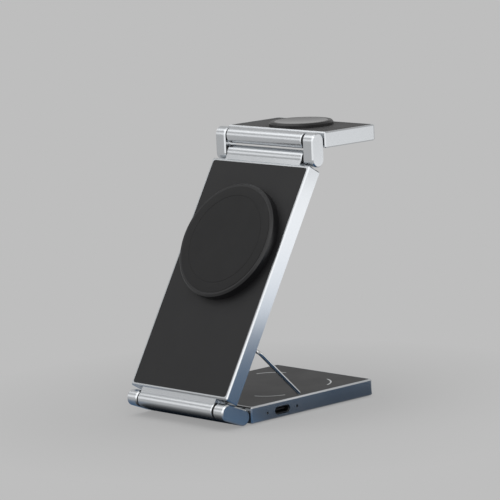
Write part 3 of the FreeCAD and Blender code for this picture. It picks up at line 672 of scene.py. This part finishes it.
class STAND_OT_socket(bpy.types.Operator):
    """Finish the charging socket and its lights, and add the contacts on its tongue."""

    bl_idname = "stand.socket"
    bl_label = "Charging socket"

    def execute(self, context):
        finishes, details = context.scene.stand_finishes, context.scene.stand_details
        tongue = moulded_plastic("lcp_tongue", finishes.tongue, roughness=0.45,
                                 grain_mm=0.2, grain_depth_mm=0.01)
        assign(tongue, "socket_tongue")
        assign(shaded_drawn_shell(finishes.shell), "socket_shell")
        assign(frosted_acrylic(finishes.light_pipe), "light_pipes")
        low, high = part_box("socket_tongue")
        count = 12
        shape = bmesh.new()
        for index in range(count):
            y = (low.y + high.y) / 2 + (index - (count - 1) / 2) * details.contact_pitch
            sides = (y - details.contact_width / 2, y + details.contact_width / 2)
            for face, outward in ((low.z, -1), (high.z, 1)):
                self.add_contact(shape, low.x, high.x, sides, face, outward)
        new_piece("socket_contacts", shape, gold_plate(finishes.gold), "base", "plated_magnet")
        return {"FINISHED"}

    @staticmethod
    def add_contact(shape, back_x, tip_x, sides, face, outward):
        """One flat contact on the tongue, with its nose sloped down to the plastic."""
        proud, nose, start = 0.05 * MM, 0.3 * MM, 0.4 * MM
        crown = face + outward * proud
        outline = [
            (back_x, face),
            (back_x, crown),
            (tip_x - start - nose, crown),
            (tip_x - start, face),
        ]
        skin(shape, [[shape.verts.new((x, y, z)) for x, z in outline] for y in sides])


class STAND_OT_phone_puck(bpy.types.Operator):
    """Finish the phone puck and replace its face by one with a soft edge and a ring groove."""

    bl_idname = "stand.phone_puck"
    bl_label = "Phone puck"

    def execute(self, context):
        finishes, details = context.scene.stand_finishes, context.scene.stand_details
        housing = moulded_plastic("pc_abs_puck", finishes.puck, roughness=0.36,
                                  grain_mm=0.35, grain_depth_mm=0.008)
        assign(housing, "phone_puck")
        low, high = span(local_points("phone_face", "panel"))
        radius = (high.x - low.x) / 2
        bend, bends = 0.12 * MM, 4
        groove_depth, slope = 0.1 * MM, 0.1 * MM
        inner = details.groove_radius - details.groove_width / 2
        outer = details.groove_radius + details.groove_width / 2
        shape = bmesh.new()
        turn_profile(shape, round_axes("panel", low, high), [
            (inner / 2, high.z),
            (inner, high.z),
            (inner + slope, high.z - groove_depth),
            (outer - slope, high.z - groove_depth),
            (outer, high.z),
            *rounded_edge(radius, high.z, bend, bends),
            (radius, low.z),
        ])
        silicone = silicone_rubber("silicone_face", finishes.silicone, roughness=0.62)
        new_piece("phone_soft_face", shape, silicone, "panel", "soft_face", "phone_face")
        return {"FINISHED"}


class STAND_OT_watch_puck(bpy.types.Operator):
    """Finish the watch puck and replace its dish by one with a soft rim."""

    bl_idname = "stand.watch_puck"
    bl_label = "Watch puck"

    def execute(self, context):
        finishes, hollow = context.scene.stand_finishes, context.scene.stand_details.dish_hollow
        housing = moulded_plastic("pc_abs_watch_puck", finishes.puck, roughness=0.36,
                                  grain_mm=0.35, grain_depth_mm=0.008)
        assign(housing, "watch_puck")
        low, high = span(local_points("watch_dish", "arm"))
        radius = (high.x - low.x) / 2
        bend, bends, rings = 0.12 * MM, 4, 16
        shares = [ring / rings for ring in range(1, rings)]
        shape = bmesh.new()
        turn_profile(shape, round_axes("arm", low, high), [
            *(((radius - bend) * share, high.z - hollow * (1 - share ** 2)) for share in shares),
            *rounded_edge(radius, high.z, bend, bends),
            (radius, low.z),
        ])
        dish = polished_dish(finishes.puck)
        new_piece("watch_polished_dish", shape, dish, "arm", "gloss_dish", "watch_dish")
        return {"FINISHED"}


class STAND_OT_coils(bpy.types.Operator):
    """Replace the plain coils by flat windings of pressed copper strands."""

    bl_idname = "stand.coils"
    bl_label = "Wound coils"

    def execute(self, context):
        copper = copper_strands(context.scene.stand_finishes.copper)
        for use, slab in (("earbud", "base"), ("phone", "panel"), ("watch", "arm")):
            shape = bmesh.new()
            self.add_winding(shape, f"{use}_coil", slab, context.scene.stand_details.coil_pitch)
            new_piece(f"{use}_winding", shape, copper, slab, "copper", f"{use}_coil")
        return {"FINISHED"}

    @staticmethod
    def add_winding(shape, node, slab, pitch):
        """A flat spiral from a coil's hole to its edge, of a wire whose corners are rounded."""
        points = local_points(node, slab)
        low, high = span(points)
        middle = (low + high) / 2
        reaches = [math.hypot(point.x - middle.x, point.y - middle.y) for point in points]
        hole, edge = min(reaches), max(reaches)
        turns = round((edge - hole) / pitch)
        spacing = (edge - hole) / turns
        wire_share, turn_steps, sides, squareness = 0.96, 48, 8, 0.6
        half_width, half_height = wire_share * spacing / 2, (high.z - low.z) / 2
        section = []
        for side in range(sides):
            corner = heading(math.tau * (side + 0.5) / sides)
            across, up = (math.copysign(abs(part) ** squareness, part) for part in corner.xy)
            section.append((half_width * across, half_height * up))
        rows = []
        for step in range(turn_steps * (turns - 1) + 1):
            out = heading(math.tau * step / turn_steps)
            reach = hole + spacing * (0.5 + step / turn_steps)
            places = [middle + out * (reach + across) + Vector((0, 0, up)) for across, up in section]
            rows.append([shape.verts.new(SLABS[slab] @ place) for place in places])
        skin(shape, rows)


class STAND_OT_inside(bpy.types.Operator):
    """Finish the boards and ferrites inside the slabs and pucks."""

    bl_idname = "stand.inside"
    bl_label = "Inner parts"

    def execute(self, context):
        finishes = context.scene.stand_finishes
        assign(lacquered_board(finishes.solder_mask), "base_board", "panel_board")
        ferrite = sintered_ferrite(finishes.ferrite)
        assign(ferrite, "earbud_ferrite", "phone_ferrite", "watch_ferrite")
        return {"FINISHED"}


# Soft lights: name, place, the point that each faces, width and height in metres, brightness.
SOFTBOXES = (
    ("key_softbox", (0.50, -0.40, 0.46), (0, 0, 0.04), 0.6, 0.6, 0.8),
    ("fill_softbox", (-0.75, -0.65, 0.30), (0, 0, 0.05), 0.5, 0.3, 0.58),
    ("top_softbox", (-0.25, -0.25, 0.80), (0, 0, 0.05), 0.8, 0.8, 0.9),
)
# Soft lights that only reflections see: they brighten the chamfers that face the camera.
RIM_SOFTBOXES = (
    ("low_rim_softbox", (0.43, -0.43, 0.08), (0.03, -0.04, 0.03), 0.3, 0.24, 0.6),
    ("high_rim_softbox", (0.35, -0.06, 0.55), (0.03, -0.04, 0.03), 0.34, 0.34, 0.6),
)
STRIP_BRIGHTNESS = 0.82
DIM_STRIP_BRIGHTNESS = 0.39
SENSOR_WIDTH_MM = 36

# The floor, in metres: its radius, its depth below the feet, and where its shadow starts to fade
# and is gone.
FLOOR_RADIUS = 8
FLOOR_DROP = 0.02 * MM
SHADOW_START = 0.06
SHADOW_END = 0.16
# Share of the floor's look close to the stand that takes no shadow.
SHADOWLESS = 0.55

# The card glows for reflections only: a painted reflection, with painted shade beside the stand and a
# painted shadow under it.
# The mirrored card: its middle and its size in metres, and how many fields it has each way.
CARD_MIDDLE = (0.13, 0.11, -0.01 * MM)
CARD_SIZE = (0.52, 0.48)
CARD_FIELDS = (200, 190)
# Where the card's tones start and stop changing, in millimetres from the origin.
CARD_FADES = {
    "front end": (-80, -47),
    "rear end": (220, 340),
    "right end": (260, 380),
    "left end": (60, 110),
    "left rear end": (-45, -20),
    "side edge": (28, 34),
    "rear edge": (42, 48),
    "further out": (50, 90),
}
# Behind the stand the right part's edge moves out, by this much for each metre.
REAR_SLANT = 0.8
# Ahead of this line the far tone comes nearer, by this much for each metre.
FRONT_LINE = -8 * MM
FRONT_SLANT = 2
# Share of the near tone that is left under the stand, as a painted shadow.
UNDER_SHADOW_SHARE = 0.15


def fade(name, place):
    """How far a tone of the mirrored card has changed at a place."""
    start, end = CARD_FADES[name]
    return ease(place / MM, start, end)


class STAND_OT_studio(bpy.types.Operator):
    """Set up the floor, the soft lights and the camera."""

    bl_idname = "stand.studio"
    bl_label = "Studio"

    def execute(self, context):
        scene = context.scene
        scene.view_settings.view_transform = "Standard"
        studio = scene.stand_studio
        self.add_world(scene, studio.backdrop)
        self.add_floor(studio.backdrop)
        self.add_reflection_card(studio)
        self.add_side_strips(studio)
        for softbox in SOFTBOXES:
            self.add_softbox(*softbox)
        for softbox in RIM_SOFTBOXES:
            self.add_softbox(*softbox).visible_diffuse = False
        self.add_camera(scene, studio)
        return {"FINISHED"}

    def add_side_strips(self, studio):
        """Low lights where the stand's right side mirrors the camera's line of sight."""
        mirrored = Vector((math.sin(studio.azimuth), math.cos(studio.azimuth), 0))
        nearer = Vector((mirrored.y, -mirrored.x, 0))
        for name, bottom, top, brightness in (
                ("side_strip", studio.strip_bottom, studio.strip_top, STRIP_BRIGHTNESS),
                ("dim_strip", studio.strip_top, studio.dim_strip_top, DIM_STRIP_BRIGHTNESS)):
            aim = Vector((CAD_BOX[1].x, 0, (bottom + top) / 2)) + nearer * studio.strip_shift
            place = aim + mirrored * studio.strip_distance
            self.add_softbox(name, place, aim, studio.strip_width, top - bottom, brightness)

    @staticmethod
    def add_world(scene, colour):
        """Even grey light from all round, of the background's colour."""
        scene.world = bpy.data.worlds.new("studio_world")
        scene.world.use_nodes = True
        background = scene.world.node_tree.nodes["Background"]
        background.inputs["Color"].default_value = (*colour, 1)
        background.inputs["Strength"].default_value = 1.0

    @staticmethod
    def add_floor(colour):
        """A wide pale floor that keeps a soft shadow near the stand and is even further out."""
        material, tree, shader = new_material(
            "painted_studio_floor", Base_Color=(*colour, 1), Roughness=0.9, Specular_IOR_Level=0.0)
        place = add(tree, "ShaderNodeTexCoord")
        reach = add(tree, "ShaderNodeVectorMath", {0: place.outputs["Object"]}, operation="LENGTH")
        far = add(tree, "ShaderNodeMapRange",
                  {"Value": reach.outputs["Value"], "From Min": SHADOW_START,
                   "From Max": SHADOW_END, "To Min": SHADOWLESS, "To Max": 1.0})
        rays = add(tree, "ShaderNodeLightPath")
        mirrored = add(tree, "ShaderNodeMath", {0: rays.outputs["Is Glossy Ray"],
                                                1: rays.outputs["Is Transmission Ray"]},
                       operation="MAXIMUM")
        seen = add(tree, "ShaderNodeMath", {0: rays.outputs["Is Camera Ray"],
                                            1: far.outputs["Result"]},
                   operation="MULTIPLY")
        even = add(tree, "ShaderNodeMath", {0: seen.outputs[0], 1: mirrored.outputs[0]},
                   operation="MAXIMUM")
        glow = add(tree, "ShaderNodeEmission", {"Color": (*colour, 1), "Strength": 1.0})
        add(tree, "ShaderNodeMixShader",
            {0: even.outputs[0], 1: shader.outputs[0], 2: glow.outputs[0]},
            into=tree.nodes["Material Output"].inputs["Surface"])
        shape = bmesh.new()
        bmesh.ops.create_circle(shape, cap_ends=True, segments=ROUND_STEPS, radius=FLOOR_RADIUS)
        floor = new_object("studio_floor", shape, material)
        floor.location.z = -FLOOR_DROP

    def add_reflection_card(self, studio):
        """A glowing card on the floor that only reflections see, painted point by point with a painted
        reflection and painted shade.
        """
        material, tree, _ = new_material("painted_reflection_and_shade")
        tone = add(tree, "ShaderNodeAttribute", attribute_name="tone")
        add(tree, "ShaderNodeEmission", {"Color": tone.outputs["Color"], "Strength": 1.0},
            into=tree.nodes["Material Output"].inputs["Surface"])
        shape = bmesh.new()
        columns, lines = CARD_FIELDS
        # The grid's size is half its side, so it is one metre wide before it is stretched.
        bmesh.ops.create_grid(shape, x_segments=columns, y_segments=lines, size=0.5)
        stretch = Matrix.Diagonal((*CARD_SIZE, 1, 1))
        laid = Matrix.Translation(CARD_MIDDLE) @ stretch
        bmesh.ops.transform(shape, matrix=laid, verts=shape.verts)
        card = new_object("painted_reflection_sheet", shape, material)
        paint = card.data.attributes.new("tone", "FLOAT_COLOR", "POINT")
        for vertex in card.data.vertices:
            colour = self.card_tone(studio, vertex.co.x, vertex.co.y)
            paint.data[vertex.index].color = (*colour, 1)
        card.visible_camera = False
        card.visible_diffuse = False
        card.visible_shadow = False
        card.visible_transmission = False

    @staticmethod
    def card_tone(studio, x, y):
        """Tone of the card: painted shadow under the stand, painted shade and a bluish painted
        reflection beside it, the floor's tone elsewhere.
        """
        floor, near, far = (Vector(tone) for tone in (studio.backdrop, studio.near_reflection_shade, studio.far_painted_reflection))
        rear = CARD_FADES["rear edge"][1] * MM
        ahead = fade("front end", y)
        right = fade("side edge", x - REAR_SLANT * max(0, y - rear))
        right *= (1 - fade("right end", x)) * (1 - fade("rear end", y))
        left = fade("side edge", -x) * (1 - fade("left end", -x)) * (1 - fade("left rear end", y))
        # Painted shadow under the stand, as the stand's metal mirrors it.
        under = (1 - fade("side edge", abs(x))) * (1 - fade("rear edge", y))
        away = fade("further out", x + FRONT_SLANT * max(0, FRONT_LINE - y))
        # Beside the stand: painted shade close to it, giving way to a bluish painted reflection
        # further out.
        tone = floor.lerp(near.lerp(far, away), right * ahead)
        return tone.lerp(far, left * ahead).lerp(near * UNDER_SHADOW_SHARE, under * ahead)

    @staticmethod
    def add_softbox(name, place, aim, width, height, brightness):
        """A soft rectangular light that faces a point and whose face has a given brightness."""
        lamp = bpy.data.lights.new(name, "AREA")
        lamp.shape = "RECTANGLE"
        lamp.size, lamp.size_y = width, height
        lamp.energy = brightness * math.pi * width * height
        softbox = bpy.data.objects.new(name, lamp)
        softbox.location = place
        softbox.rotation_euler = (Vector(aim) - Vector(place)).to_track_quat("-Z", "Y").to_euler()
        softbox.visible_camera = False
        bpy.context.scene.collection.objects.link(softbox)
        return softbox

    @staticmethod
    def add_camera(scene, studio):
        """A long lens, turned, raised and rolled to the chosen view."""
        turn, rise = studio.azimuth, studio.elevation
        level_back = Vector((math.sin(turn), -math.cos(turn), 0))
        back = level_back * math.cos(rise) + Vector((0, 0, math.sin(rise)))
        lens = bpy.data.cameras.new("studio_camera")
        lens.sensor_width = SENSOR_WIDTH_MM
        lens.lens = studio.lens
        camera = bpy.data.objects.new("studio_camera", lens)
        camera.location = Vector(studio.target) + back * studio.distance
        level = (-back).to_track_quat("-Z", "Y").to_matrix().to_4x4()
        camera.rotation_euler = (level @ Matrix.Rotation(studio.roll, 4, "Z")).to_euler()
        scene.collection.objects.link(camera)
        scene.camera = camera


OPERATORS = (
    STAND_OT_metal,
    STAND_OT_faces,
    STAND_OT_marks,
    STAND_OT_steel,
    STAND_OT_feet,
    STAND_OT_washers,
    STAND_OT_bail,
    STAND_OT_socket,
    STAND_OT_phone_puck,
    STAND_OT_watch_puck,
    STAND_OT_coils,
    STAND_OT_inside,
    STAND_OT_studio,
)


class STAND_PT_sidebar(bpy.types.Panel):
    """The stand's settings and operators."""

    bl_label = "Charging stand"
    bl_space_type = "VIEW_3D"
    bl_region_type = "UI"
    bl_category = "Stand"

    def draw(self, context):
        for group, settings in SETTING_GROUPS.items():
            for name in settings.__annotations__:
                self.layout.prop(getattr(context.scene, group), name)
        for operator in OPERATORS:
            self.layout.operator(operator.bl_idname)


CLASSES = (*SETTING_GROUPS.values(), *OPERATORS, STAND_PT_sidebar)


def register():
    """Register the classes and hang the settings on the scene."""
    for each in CLASSES:
        bpy.utils.register_class(each)
    for name, settings in SETTING_GROUPS.items():
        setattr(bpy.types.Scene, name, bpy.props.PointerProperty(type=settings))


def unregister():
    """Take the settings off the scene and unregister the classes."""
    for name in SETTING_GROUPS:
        delattr(bpy.types.Scene, name)
    for each in reversed(CLASSES):
        bpy.utils.unregister_class(each)


def main():
    """Dress the stand and set up the studio."""
    register()
    for operator in OPERATORS:
        group, name = operator.bl_idname.split(".")
        getattr(getattr(bpy.ops, group), name)()


if __name__ == "__main__":
    main()
